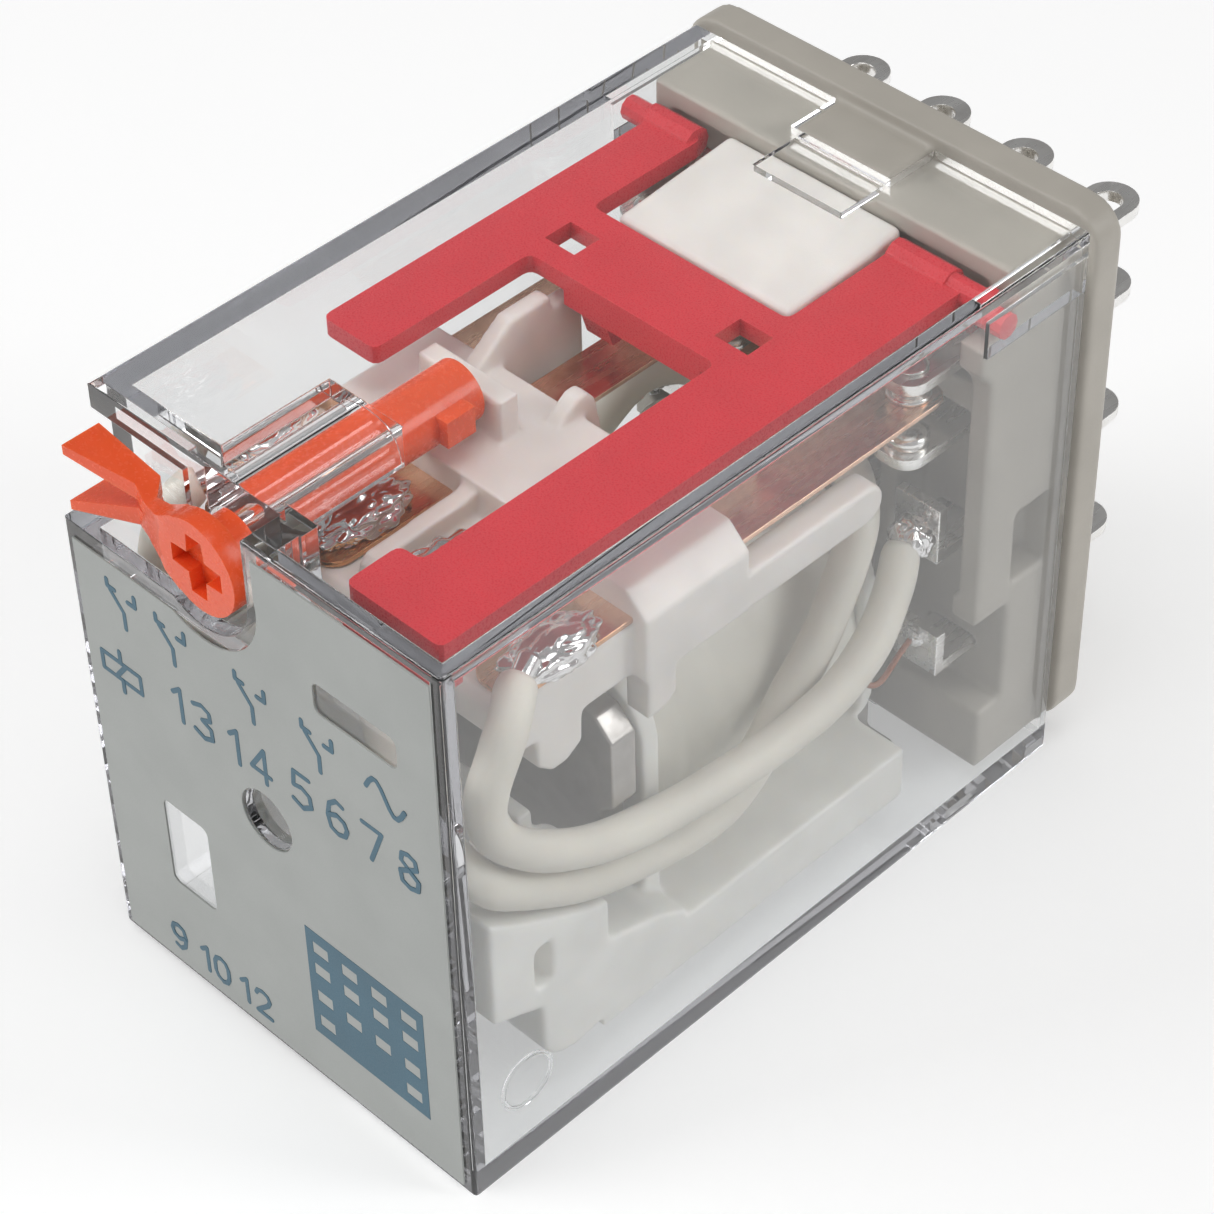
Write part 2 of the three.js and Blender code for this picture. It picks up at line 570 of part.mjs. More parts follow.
// Orange test plunger in the cover's channel, and the lever that turns on its front end.
function testPlunger() {
  const { x, z, shaft, headBack, end } = TEST;
  return join(
    alongY(disc(x, z, shaft), headBack + GAP, end, 16),
    box(x + 0.9, x + 1.75, 10.7, 12.1, 23.9, 25.1),
  );
}
place("test_plunger", testPlunger(), ORANGE);

function testLever() {
  const { x, z, head, headBack } = TEST;
  const tip = x - 7.3;
  const recess = [];
  for (const [c, s] of [[1, 0], [0, 1], [-1, 0], [0, -1]]) {
    for (const [along, across] of [[1.35, -0.42], [1.35, 0.42], [0.48, 0.48]]) {
      recess.push([x + c * along - s * across, z + s * along + c * across]);
    }
  }
  const side = [[x, z + 1.9], [x - 1.2, z + 1.75], [x - 2.3, z + 1.05], [x - 3.3, z + 0.8], [tip, z + 1.45],
    [tip, z + 1.0], [x - 3.5, z], [tip, z - 1.2], [tip, z - 1.65], [x - 3.3, z - 0.85],
    [x - 2.3, z - 1.05], [x - 1.2, z - 1.75], [x, z - 1.9]];
  const plan = [[x, 0.05], [x - 1.9, 0.05], [x - 3.0, 0.4], [x - 4.2, 0.85], [tip, 0.05], [tip, 1.8],
    [x - 3.9, 1.8], [x - 3.15, 1.0], [x - 1.75, headBack], [x, headBack]];
  const arm = alongY(side, 0, 2).intersect(alongZ(plan, z - 3, z + 3));
  const disk = alongY(disc(x, z, head), 0.05, headBack, 20);
  return cut(join(disk, arm), alongY(recess, -1, 0.65));
}
place("test_lever", testLever(), ORANGE);

// Flexible leads from the springs' front ends, round in front of the coil, to the lugs in the base.
const OUTER_ROUTE = [
  [7.45, 6.2, 22.6], [7.95, 5.1, 22.35], [8.45, 4.2, 21.6], [8.6, 3.45, 20.5], [8.6, 2.85, 19.2],
  [8.6, 2.75, 17.9], [8.6, 3.5, 16.2], [8.6, 5.5, 14.2], [8.6, 8.5, 12.45], [8.55, 12.2, 11.35],
  [8.55, 16.2, 10.8], [8.6, 19.2, 10.8], [8.6, 21.6, 11.2], [8.35, 23.8, 12.1], [7.7, 25.7, 13.2],
  [7.0, 27.0, 14.3],
];
const INNER_ROUTE = [
  [2.4, 5.35, 22.2], [2.6, 4.15, 21.65], [3.2, 3.62, 20.4], [4.4, 3.0, 19.1], [5.8, 2.2, 17.6],
  [7.0, 2.0, 16.0], [8.2, 2.7, 14.4], [8.3, 4.2, 12.95], [8.3, 7.6, 10.8], [8.3, 11.4, 9.5],
  [8.2, 14.4, 8.9], [7.9, 16.6, 8.9], [7.35, 18.8, 9.6], [6.98, 20.4, 10.6], [6.9, 22.0, 12.0],
  [6.6, 23.6, 13.6], [5.9, 25.6, 15.6], [4.4, 26.9, 16.4], [2.9, 27.6, 15.9],
];
function lead(route, side) {
  const curve = new THREE.CatmullRomCurve3(route.map(([x, y, z]) => new THREE.Vector3(side * x, y, z)));
  const section = new THREE.Shape();
  for (let i = 0; i < LEAD.sides; i++) {
    const angle = (2 * Math.PI * i) / LEAD.sides;
    const [u, v] = [LEAD.radius * Math.cos(angle), LEAD.radius * Math.sin(angle)];
    if (i === 0) section.moveTo(u, v);
    else section.lineTo(u, v);
  }
  section.closePath();
  return solid(new THREE.ExtrudeGeometry(section, { steps: LEAD.steps, extrudePath: curve }));
}
const frontSpace = box(-INNER.halfWidth, INNER.halfWidth, COVER.wall + GAP, LUG.common - GAP, 1, 26);
POLES.forEach((x, i) => {
  const route = Math.abs(x) > PITCH ? OUTER_ROUTE : INNER_ROUTE;
  const joint = join(
    solderJoint(x, 0.04),
    box(x - 3, x + SPRING.halfWidth + GAP, 4.95, 12, 19, SPRING_TOP + GAP),
    box(x - 3, x + 0.6, 5.5, 12, 19, 25),
  );
  const clear = cut(lead(route, Math.sign(x)).intersect(frontSpace), joint);
  place(`flexible_lead_${i + 1}`, clear, SLEEVING);
});

export default relay;
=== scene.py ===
# The looks of a plug-in control relay: clear cover, printed label, contacts, coil and blades.
import math

import bmesh
import bpy
from mathutils import Matrix, Vector, noise


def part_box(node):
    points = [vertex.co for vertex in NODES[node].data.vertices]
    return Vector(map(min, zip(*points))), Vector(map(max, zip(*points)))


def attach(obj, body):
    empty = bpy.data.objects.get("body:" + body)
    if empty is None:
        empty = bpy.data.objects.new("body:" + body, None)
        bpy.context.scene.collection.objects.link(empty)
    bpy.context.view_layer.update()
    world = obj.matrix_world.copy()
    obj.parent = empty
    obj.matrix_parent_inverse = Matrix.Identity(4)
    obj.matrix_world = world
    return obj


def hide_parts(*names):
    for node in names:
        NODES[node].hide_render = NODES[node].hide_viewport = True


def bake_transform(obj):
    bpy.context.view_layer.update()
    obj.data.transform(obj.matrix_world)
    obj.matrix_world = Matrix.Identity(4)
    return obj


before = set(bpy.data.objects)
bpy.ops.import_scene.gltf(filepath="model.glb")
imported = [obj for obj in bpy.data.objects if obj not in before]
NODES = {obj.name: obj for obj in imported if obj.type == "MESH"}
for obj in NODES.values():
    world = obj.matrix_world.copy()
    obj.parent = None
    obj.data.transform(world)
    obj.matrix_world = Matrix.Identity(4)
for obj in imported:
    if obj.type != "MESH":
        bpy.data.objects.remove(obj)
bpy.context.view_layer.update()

MM = 0.001
COVER_LOW, COVER_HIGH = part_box("clear_cover")
FRONT = COVER_LOW.y


# ---- places, counted like the part's own: Y from the cover's front face, all in millimetres ----
def at(x, y, z):
    return Vector((x * MM, y * MM + FRONT, z * MM))


# ---- camera, stage and light ----
CAMERA_PLACE = at(74.985, -55.554, 108.932)
CAMERA_AIM = at(1.449, 16.487, 14.049)
CAMERA_LENS = 106.05
CAMERA_ROLL = math.radians(-1.333)
SENSOR_WIDTH = 36.0
NEAR_CLIP = 0.005

# name, place and aim in metres, size in metres, power in watts
LIGHTS = [
    ("top_light", (0.03, -0.05, 0.38), (0, 0, 0.01), (0.22, 0.22), 0.42),
    ("front_light", (-0.21, -0.28, 0.23), (0, 0, 0.015), (0.2, 0.12), 0.5),
    ("right_light", (0.29, 0.2, 0.22), (0, 0, 0.015), (0.12, 0.2), 0.35),
]
# the room's brightness from straight down, 0, to straight up, 1
ROOM_LEVELS = [(0.0, 0.95), (0.25, 0.7), (0.5, 0.5), (1.0, 0.6)]
ROOM_STRENGTH = 0.5
FLOOR_SIZE = 4.0
FLOOR_DROP = 0.05
# the clear walls guide light a long way before it leaves them
GUIDED_BOUNCES = 32
ALL_BOUNCES = 40
CLEAR_LAYERS = 24


def make_camera():
    data = bpy.data.cameras.new("photo_camera")
    data.lens = CAMERA_LENS
    data.sensor_width = SENSOR_WIDTH
    data.clip_start = NEAR_CLIP
    camera = bpy.data.objects.new("photo_camera", data)
    bpy.context.scene.collection.objects.link(camera)
    turn = (CAMERA_AIM - CAMERA_PLACE).to_track_quat("-Z", "Y").to_matrix().to_4x4()
    camera.matrix_world = Matrix.Translation(CAMERA_PLACE) @ turn @ Matrix.Rotation(CAMERA_ROLL, 4, "Z")
    bpy.context.scene.camera = camera


def area_light(name, place, aim, size, power):
    data = bpy.data.lights.new(name, "AREA")
    data.shape = "RECTANGLE"
    data.size, data.size_y = size
    data.energy = power
    light = bpy.data.objects.new(name, data)
    bpy.context.scene.collection.objects.link(light)
    light.location = place
    light.rotation_euler = (Vector(aim) - Vector(place)).to_track_quat("-Z", "Y").to_euler()


def make_floor():
    bpy.ops.mesh.primitive_plane_add(size=FLOOR_SIZE, location=(0, 0, -FLOOR_DROP * MM))
    floor = bpy.context.object
    floor.name = "floor"
    floor.data.materials.append(FLOOR)


def make_room():
    """A plain studio: its soft light changes only with the height it comes from."""
    world = bpy.data.worlds.new("studio")
    bpy.context.scene.world = world
    world.use_nodes = True
    tree = world.node_tree
    background = tree.nodes["Background"]
    coords = tree.nodes.new("ShaderNodeTexCoord")
    split = tree.nodes.new("ShaderNodeSeparateXYZ")
    ramp = tree.nodes.new("ShaderNodeValToRGB")
    tree.links.new(coords.outputs["Generated"], split.inputs[0])
    tree.links.new(split.outputs["Z"], ramp.inputs["Fac"])
    stops = ramp.color_ramp.elements
    stops.remove(stops[1])
    for i, (height, level) in enumerate(ROOM_LEVELS):
        stop = stops[0] if i == 0 else stops.new(height)
        stop.position = height
        stop.color = (level, level, level, 1)
    tree.links.new(ramp.outputs["Color"], background.inputs["Color"])
    background.inputs["Strength"].default_value = ROOM_STRENGTH


def make_stage():
    scene = bpy.context.scene
    scene.view_settings.view_transform = "Standard"
    scene.cycles.max_bounces = ALL_BOUNCES
    scene.cycles.transmission_bounces = GUIDED_BOUNCES
    scene.cycles.glossy_bounces = GUIDED_BOUNCES
    scene.cycles.transparent_max_bounces = CLEAR_LAYERS
    make_floor()
    make_room()
    for light in LIGHTS:
        area_light(*light)


# ---- materials ----
class Tree:
    """A material's node tree, with short calls for the nodes that most surfaces share."""

    def __init__(self, name):
        self.material = bpy.data.materials.new(name)
        self.material.use_nodes = True
        self.tree = self.material.node_tree
        self.tree.nodes.clear()
        self.output = self.tree.nodes.new("ShaderNodeOutputMaterial")
        self.shader = self.tree.nodes.new("ShaderNodeBsdfPrincipled")
        self.link(self.shader.outputs[0], self.output.inputs["Surface"])
        self.coords = self.tree.nodes.new("ShaderNodeTexCoord")

    def link(self, source, target):
        self.tree.links.new(source, target)

    def node(self, kind, **inputs):
        made = self.tree.nodes.new(kind)
        for key, value in inputs.items():
            socket = made.inputs[key.replace("_", " ")]
            if hasattr(value, "is_output") and value.is_output:
                self.link(value, socket)
            else:
                socket.default_value = value
        return made

    def set(self, **values):
        for key, value in values.items():
            self.shader.inputs[key.replace("_", " ")].default_value = value

    def millimetres(self, stretch=(1, 1, 1)):
        mapping = self.node("ShaderNodeMapping", Vector=self.coords.outputs["Object"])
        mapping.inputs["Scale"].default_value = tuple(s / MM for s in stretch)
        return mapping.outputs[0]

    def noise(self, scale, detail=3.0, rough=0.5, stretch=(1, 1, 1)):
        made = self.node("ShaderNodeTexNoise", Vector=self.millimetres(stretch))
        made.inputs["Scale"].default_value = scale
        made.inputs["Detail"].default_value = detail
        made.inputs["Roughness"].default_value = rough
        return made.outputs["Fac"]

    def spread(self, factor, low, high, start=0.35, end=0.65):
        made = self.node("ShaderNodeMapRange", Value=factor)
        made.inputs["From Min"].default_value = start
        made.inputs["From Max"].default_value = end
        made.inputs["To Min"].default_value = low
        made.inputs["To Max"].default_value = high
        return made.outputs[0]

    def mix(self, factor, first, second):
        made = self.tree.nodes.new("ShaderNodeMix")
        made.data_type = "RGBA"
        self.link(factor, made.inputs["Factor"])
        for socket, value in ((made.inputs[6], first), (made.inputs[7], second)):
            if hasattr(value, "is_output"):
                self.link(value, socket)
            else:
                socket.default_value = (*value, 1)
        return made.outputs[2]

    def bump(self, height, strength, distance=0.02):
        made = self.node("ShaderNodeBump", Height=height)
        made.inputs["Strength"].default_value = strength
        made.inputs["Distance"].default_value = distance * MM
        self.link(made.outputs[0], self.shader.inputs["Normal"])


GLOW_REACH = (1, 0.8, 0.6)
GLOW_DEPTH = 0.6


def shade(colour, factor):
    return tuple(min(1.0, c * factor) for c in colour)


def moulded(name, colour, roughness, grain=6.0, bump=0.15, cloud=0.05, glow=0.0):
    """Injection-moulded plastic: a faint flow cloud, a fine skin texture and uneven gloss."""
    t = Tree(name)
    clouds = t.noise(0.35, 2.0)
    fine = t.noise(grain, 4.0, 0.6)
    base = t.mix(t.spread(clouds, 0, 1), shade(colour, 1 - cloud), shade(colour, 1 + cloud))
    t.link(base, t.shader.inputs["Base Color"])
    t.link(t.spread(fine, roughness - 0.07, roughness + 0.07), t.shader.inputs["Roughness"])
    t.bump(fine, bump)
    if glow:
        t.set(Subsurface_Weight=glow, Subsurface_Radius=GLOW_REACH, Subsurface_Scale=GLOW_DEPTH * MM)
    return t.material


def metal(name, colour, dark, roughness, grain=2.0, stretch=(1, 1, 1), bump=0.1, stain=0.35):
    """Plated or rolled metal: streaks along the rolling direction, and a slight tarnish."""
    t = Tree(name)
    streaks = t.noise(grain, 4.0, 0.6, stretch)
    tarnish = t.noise(0.5, 3.0)
    base = t.mix(t.spread(tarnish, 0, stain, 0.45, 0.7), colour, dark)
    t.link(base, t.shader.inputs["Base Color"])
    t.link(t.spread(streaks, roughness - 0.08, roughness + 0.1), t.shader.inputs["Roughness"])
    t.set(Metallic=1.0)
    t.bump(streaks, bump)
    return t.material


# the soldering heat's tan fades out between these distances from the cover's front
HEAT_END = (9.2, 11.5)


def spring_metal():
    """Rolled copper alloy, tanned by the soldering iron's heat near the spring's front end."""
    t = Tree("spring_copper")
    streaks = t.noise(2.0, 4.0, 0.6, (1, 0.1, 1))
    cloud = t.noise(1.2, 3.0)
    rolled = t.mix(t.spread(cloud, 0, 1), (0.86, 0.56, 0.40), (0.74, 0.44, 0.30))
    split = t.tree.nodes.new("ShaderNodeSeparateXYZ")
    t.link(t.coords.outputs["Object"], split.inputs[0])
    start, end = (at(0, y, 0).y for y in HEAT_END)
    near = t.spread(split.outputs["Y"], 0.85, 0.0, start, end)
    t.link(t.mix(near, rolled, (0.62, 0.30, 0.12)), t.shader.inputs["Base Color"])
    t.link(t.spread(streaks, 0.16, 0.34), t.shader.inputs["Roughness"])
    t.set(Metallic=1.0)
    t.bump(streaks, 0.1)
    return t.material


CLEAR_TINT = (0.985, 0.99, 0.99, 1)
CLEAR_SHADOW = (0.93, 0.94, 0.94, 1)
SMOKE_COLOUR = (0.5, 0.5, 0.53, 1)
SMOKE_DENSITY = 65.0


def clear_plastic():
    """Clear polycarbonate: lamps shine through it, and it darkens the light that it guides far."""
    t = Tree("clear_polycarbonate")
    t.set(Base_Color=CLEAR_TINT, Roughness=0.0, IOR=1.58, Transmission_Weight=1.0)
    waves = t.noise(0.08, 1.0)
    t.bump(waves, 0.04, 0.3)
    path = t.tree.nodes.new("ShaderNodeLightPath")
    lets_through = t.tree.nodes.new("ShaderNodeBsdfTransparent")
    lets_through.inputs["Color"].default_value = CLEAR_SHADOW
    mixer = t.tree.nodes.new("ShaderNodeMixShader")
    t.link(path.outputs["Is Shadow Ray"], mixer.inputs["Fac"])
    t.link(t.shader.outputs[0], mixer.inputs[1])
    t.link(lets_through.outputs[0], mixer.inputs[2])
    t.link(mixer.outputs[0], t.output.inputs["Surface"])
    smoke = t.tree.nodes.new("ShaderNodeVolumeAbsorption")
    smoke.inputs["Color"].default_value = SMOKE_COLOUR
    smoke.inputs["Density"].default_value = SMOKE_DENSITY
    t.link(smoke.outputs[0], t.output.inputs["Volume"])
    return t.material


def floor_material():
    t = Tree("pale_floor")
    grain = t.noise(0.02, 2.0)
    t.link(t.mix(grain, (0.86, 0.86, 0.86), (0.88, 0.88, 0.88)), t.shader.inputs["Base Color"])
    t.set(Roughness=0.8, Emission_Color=(1, 1, 1, 1), Emission_Strength=0.3)
    return t.material


FLOOR = floor_material()
CLEAR = clear_plastic()
LABEL_GREY = moulded("label_film", (0.37, 0.385, 0.37), 0.42, grain=14.0, bump=0.08, cloud=0.03)
INK = moulded("label_ink", (0.035, 0.115, 0.17), 0.4, grain=20.0, bump=0.08)
BASE_GREY = moulded("base_plastic", (0.455, 0.425, 0.375), 0.42, grain=9.0, bump=0.25, cloud=0.04)
MILKY = moulded("milky_plastic", (0.84, 0.80, 0.76), 0.38, glow=0.35)
BOBBIN_WHITE = moulded("bobbin_plastic", (0.88, 0.87, 0.83), 0.45, glow=0.25)
TAPE = moulded("coil_tape", (0.78, 0.76, 0.68), 0.35, grain=4.0, bump=0.2, glow=0.2)
RED = moulded("red_plastic", (0.66, 0.036, 0.05), 0.3, grain=12.0, bump=0.02, cloud=0.03, glow=0.1)
ORANGE = moulded("orange_plastic", (0.84, 0.10, 0.025), 0.24, grain=5.0, bump=0.08, glow=0.25)
SLEEVING = moulded("sleeving", (0.77, 0.735, 0.655), 0.5, grain=3.0, bump=0.25, cloud=0.04, glow=0.3)
ENAMEL = moulded("wire_enamel", (0.36, 0.10, 0.03), 0.25)
SILVER = metal("silver_plate", (0.92, 0.91, 0.89), (0.6, 0.57, 0.53), 0.26, stretch=(1, 0.15, 1))
CONTACT_SILVER = metal("contact_silver", (0.90, 0.89, 0.87), (0.5, 0.47, 0.44), 0.18)
COPPER = metal("ring_copper", (0.80, 0.50, 0.38), (0.38, 0.2, 0.12), 0.25)
SPRING_COPPER = spring_metal()
SOLDER = metal("solder", (0.80, 0.79, 0.79), (0.36, 0.32, 0.32), 0.1, grain=1.4, bump=0.4)
FLUX = moulded("flux_resin", (0.30, 0.10, 0.02), 0.15, cloud=0.2)
IRON = metal("plated_iron", (0.42, 0.40, 0.38), (0.2, 0.18, 0.17), 0.38, grain=1.5)


# ---- finer edges for the parts whose CAD shape is right ----
WELD_DISTANCE = 0.002 * MM
FLAT_ANGLE = math.radians(0.6)
EDGE_ANGLE = math.radians(32)


def drop_normals(mesh):
    """Removes the CAD mesh's own normals, so that the new edges get theirs."""
    if "custom_normal" in mesh.attributes:
        mesh.attributes.remove(mesh.attributes["custom_normal"])


def weigh_normals(part, weight=50):
    """Lets the large faces set the normals, so that flat faces stay flat beside round edges."""
    normals = part.modifiers.new("normals", "WEIGHTED_NORMAL")
    normals.keep_sharp = True
    normals.weight = weight


def redress(node, material):
    """Gives a CAD node its material and returns it."""
    part = NODES[node]
    part.data.materials.clear()
    part.data.materials.append(material)
    drop_normals(part.data)
    return part


def refine(node, material, width, segments):
    """Rounds a CAD node's edges with modifiers and gives it its material."""
    part = redress(node, material)
    part.data.polygons.foreach_set("use_smooth", [True] * len(part.data.polygons))
    weld = part.modifiers.new("weld", "WELD")
    weld.merge_threshold = WELD_DISTANCE
    flat = part.modifiers.new("flat", "DECIMATE")
    flat.decimate_type = "DISSOLVE"
    flat.angle_limit = FLAT_ANGLE
    bevel = part.modifiers.new("edges", "BEVEL")
    bevel.width = width * MM
    bevel.segments = segments
    bevel.limit_method = "ANGLE"
    bevel.angle_limit = EDGE_ANGLE
    bevel.use_clamp_overlap = True
    bevel.miter_outer = "MITER_ARC"
    weigh_normals(part, 80)


def soften(node, material, voxel, passes):
    """Gives a moulded CAD node the soft edges and fillets of a plastic part, all over."""
    part = redress(node, material)
    skin = part.modifiers.new("skin", "REMESH")
    skin.mode = "VOXEL"
    skin.voxel_size = voxel * MM
    skin.use_smooth_shade = True
    soft = part.modifiers.new("soft", "SMOOTH")
    soft.factor = 0.5
    soft.iterations = passes


def piece(name, mesh, material, body, replaced=(), smooth=True):
    """Links a new mesh object, which rides on a body and stands for CAD nodes."""
    made = bpy.data.objects.new(name, mesh)
    bpy.context.scene.collection.objects.link(made)
    mesh.materials.append(material)
    if smooth:
        mesh.polygons.foreach_set("use_smooth", [True] * len(mesh.polygons))
    if body:
        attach(made, body)
    if replaced:
        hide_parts(*replaced)
    return made


def mesh_of(bm, name):
    bmesh.ops.recalc_face_normals(bm, faces=bm.faces)
    mesh = bpy.data.meshes.new(name)
    bm.to_mesh(mesh)
    bm.free()
    return mesh


# ---- the clear cover: the CAD shape with a wide round on its outer edges ----
OUTER_ROUND = 0.5
INNER_ROUND = 0.12
SHARP_REAR = at(0, 31.0, 0).y
ON_PLANE = 0.01 * MM
OUTER_PLANES = [
    (0, COVER_LOW.x), (0, COVER_HIGH.x), (1, COVER_LOW.y), (2, COVER_LOW.z), (2, COVER_HIGH.z),
]


def is_outer(edge):
    """True where two of the cover's outer faces meet."""
    planes = 0
    for axis, level in OUTER_PLANES:
        planes += all(abs(v.co[axis] - level) < ON_PLANE for v in edge.verts)
    return planes >= 2


def cover_shell():
    """Rounds the cover's edges. Those at its open rear stay sharp, as they leave the mould."""
    mesh = NODES["clear_cover"].data.copy()
    mesh.materials.clear()
    bm = bmesh.new()
    bm.from_mesh(mesh)
    bmesh.ops.remove_doubles(bm, verts=bm.verts, dist=WELD_DISTANCE)
    bmesh.ops.dissolve_limit(bm, angle_limit=FLAT_ANGLE, verts=bm.verts, edges=bm.edges)
    layer = bm.edges.layers.float.new("bevel_weight_edge")
    for edge in bm.edges:
        if len(edge.link_faces) == 2 and edge.calc_face_angle() > EDGE_ANGLE:
            rear = all(v.co.y > SHARP_REAR for v in edge.verts)
            edge[layer] = 1.0 if is_outer(edge) else 0.0 if rear else INNER_ROUND / OUTER_ROUND
            edge.smooth = edge[layer] > 0
    bm.to_mesh(mesh)
    bm.free()
    drop_normals(mesh)
    shell = piece("cover_shell", mesh, CLEAR, "housing", ["clear_cover"])
    bevel = shell.modifiers.new("edges", "BEVEL")
    bevel.width = OUTER_ROUND * MM
    bevel.segments = 3
    bevel.limit_method = "WEIGHT"
    bevel.use_clamp_overlap = True
    weigh_normals(shell)


# ---- round pieces ----
AXIS_TURNS = {
    "X": Matrix.Rotation(math.pi / 2, 4, "Y"),
    "Y": Matrix.Rotation(-math.pi / 2, 4, "X"),
    "Z": Matrix(),
}


def lathe_mesh(name, profile, place, axis="Z", sides=40):
    """A solid of revolution: profile is (radius, height) pairs in millimetres, along the axis."""
    bm = bmesh.new()
    rings = []
    for radius, height in profile:
        if radius < 1e-6:
            rings.append([bm.verts.new((0, 0, height * MM))])
            continue
        ring = []
        for i in range(sides):
            angle = 2 * math.pi * i / sides
            spot = Vector((radius * math.cos(angle), radius * math.sin(angle), height))
            ring.append(bm.verts.new(spot * MM))
        rings.append(ring)
    for a, b in zip(rings, rings[1:]):
        for i in range(sides):
            j = (i + 1) % sides
            if len(a) == 1:
                bm.faces.new((a[0], b[i], b[j]))
            elif len(b) == 1:
                bm.faces.new((a[i], a[j], b[0]))
            else:
                bm.faces.new((a[i], a[j], b[j], b[i]))
    bmesh.ops.transform(bm, matrix=Matrix.Translation(place) @ AXIS_TURNS[axis], verts=bm.verts)
    return mesh_of(bm, name)


def spline(points, steps):
    """A Catmull-Rom curve through the points, with even steps on each stretch."""
    ends = [points[0] * 2 - points[1], *points, points[-1] * 2 - points[-2]]
    path = []
    for i in range(1, len(ends) - 2):
        p0, p1, p2, p3 = ends[i - 1:i + 3]
        for s in range(steps):
            t = s / steps
            path.append(0.5 * ((2 * p1) + (p2 - p0) * t + (2 * p0 - 5 * p1 + 4 * p2 - p3) * t * t
                               + (3 * p1 - p0 - 3 * p2 + p3) * t ** 3))
    path.append(points[-1].copy())
    return path


def tube_mesh(name, path, radius_at, sides=20):
    """A closed tube along a path; radius_at(t) gives the radius in millimetres from t = 0 to 1."""
    bm = bmesh.new()
    side = None
    rings = []
    for i, p in enumerate(path):
        ahead = path[min(i + 1, len(path) - 1)] - path[max(i - 1, 0)]
        ahead.normalize()
        if side is None:
            side = ahead.orthogonal().normalized()
        side = (side - ahead * side.dot(ahead)).normalized()
        up = ahead.cross(side)
        radius = radius_at(i / (len(path) - 1)) * MM
        ring = []
        for k in range(sides):
            angle = 2 * math.pi * k / sides
            ring.append(bm.verts.new(p + (side * math.cos(angle) + up * math.sin(angle)) * radius))
        rings.append(ring)
    for a, b in zip(rings, rings[1:]):
        for k in range(sides):
            bm.faces.new((a[k], a[(k + 1) % sides], b[(k + 1) % sides], b[k]))
    bm.faces.new(rings[0][::-1])
    bm.faces.new(rings[-1])
    return mesh_of(bm, name)


RIVET_HEAD = 0.9
RIVET_SHANK = 0.5


def fixed_rivet(face, thickness):
    """A fixed contact's outline: a domed head on one side of the strip, a peened shank on the other."""
    s = math.copysign(1, thickness)
    back = face + thickness
    head = [(0, face), (0.45, face + s * 0.02), (0.75, face + s * 0.1), (0.88, face + s * 0.2),
            (RIVET_HEAD, face + s * 0.3), (RIVET_HEAD, back - s * 0.06), (0.84, back)]
    peened = [(0.66, -face - s * 0.17), (0.74, -face - s * 0.1), (0.7, -face - s * 0.04)]
    shank = [(RIVET_SHANK, back), (RIVET_SHANK, -face - s * 0.17), *peened, (RIVET_SHANK, -face), (0, -face)]
    return head + shank


def moving_rivet(bottom, top):
    """A spring's contact: a domed head below the spring and a thin button above it."""
    head = [(0, bottom), (0.45, bottom + 0.02), (0.75, bottom + 0.1), (0.88, bottom + 0.22),
            (RIVET_HEAD, bottom + 0.3), (RIVET_HEAD, bottom + 0.56), (RIVET_SHANK, bottom + 0.58)]
    button = [(RIVET_SHANK, top - 0.28), (RIVET_HEAD, top - 0.26), (RIVET_HEAD, top - 0.12),
              (0.8, top - 0.03), (RIVET_SHANK, top), (0, top)]
    return head + button


def contact_rivet(row, number, body):
    """A silver rivet in place of a contact's plain CAD solid."""
    node = f"{row}_contact_{number}"
    name = f"{row}_rivet_{number}"
    low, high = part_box(node)
    half = (high.z - low.z) / 2 / MM
    outlines = {
        "nc": fixed_rivet(-half, 0.54),
        "no": fixed_rivet(half, -0.63),
        "moving": moving_rivet(-half, half),
    }
    made = piece(name, lathe_mesh(name, outlines[row], (low + high) / 2), CONTACT_SILVER, body, [node])


def make_contacts():
    for i in range(1, 5):
        contact_rivet("nc", i, "housing")
        contact_rivet("no", i, "housing")
        contact_rivet("moving", i, "armature")


# ---- solder ----
STRIP_EDGE = 0.45
DROOP_SLOPE = 2.5
BALL_SHARE = 0.94


def solder_blob(name, place, size, seed, body, replaced=(), flat=None, droop=0.0):
    """A frozen drop of solder: a ball pulled and dented by noise, flat where it wets the strip.

    Past the strip's edge, on the side that droop's sign names, it hangs lower.
    """
    bm = bmesh.new()
    bmesh.ops.create_icosphere(bm, subdivisions=5, radius=1.0)
    shift = Vector((seed * 3.1, seed * 1.7, seed * 0.9))
    for v in bm.verts:
        n = v.co.normalized()
        lumps = noise.noise(n * 1.9 + shift)
        folds = abs(noise.noise(n * 3.4 + shift * 2))
        swell = 1 + 0.16 * lumps + 0.24 * folds
        local = Vector(n[k] * size[k] for k in range(3)) * swell * MM * BALL_SHARE
        if flat is not None:
            past = max(0.0, local.x * math.copysign(1, droop) / MM - STRIP_EDGE)
            local.z = max(local.z, (flat - min(abs(droop), past * DROOP_SLOPE)) * MM)
        v.co = local + place
    made = piece(name, mesh_of(bm, name), SOLDER, body, replaced)


BEADS = 9
BEAD_OVAL = (1.02, 2.15)
BEAD_LEVEL = -0.22


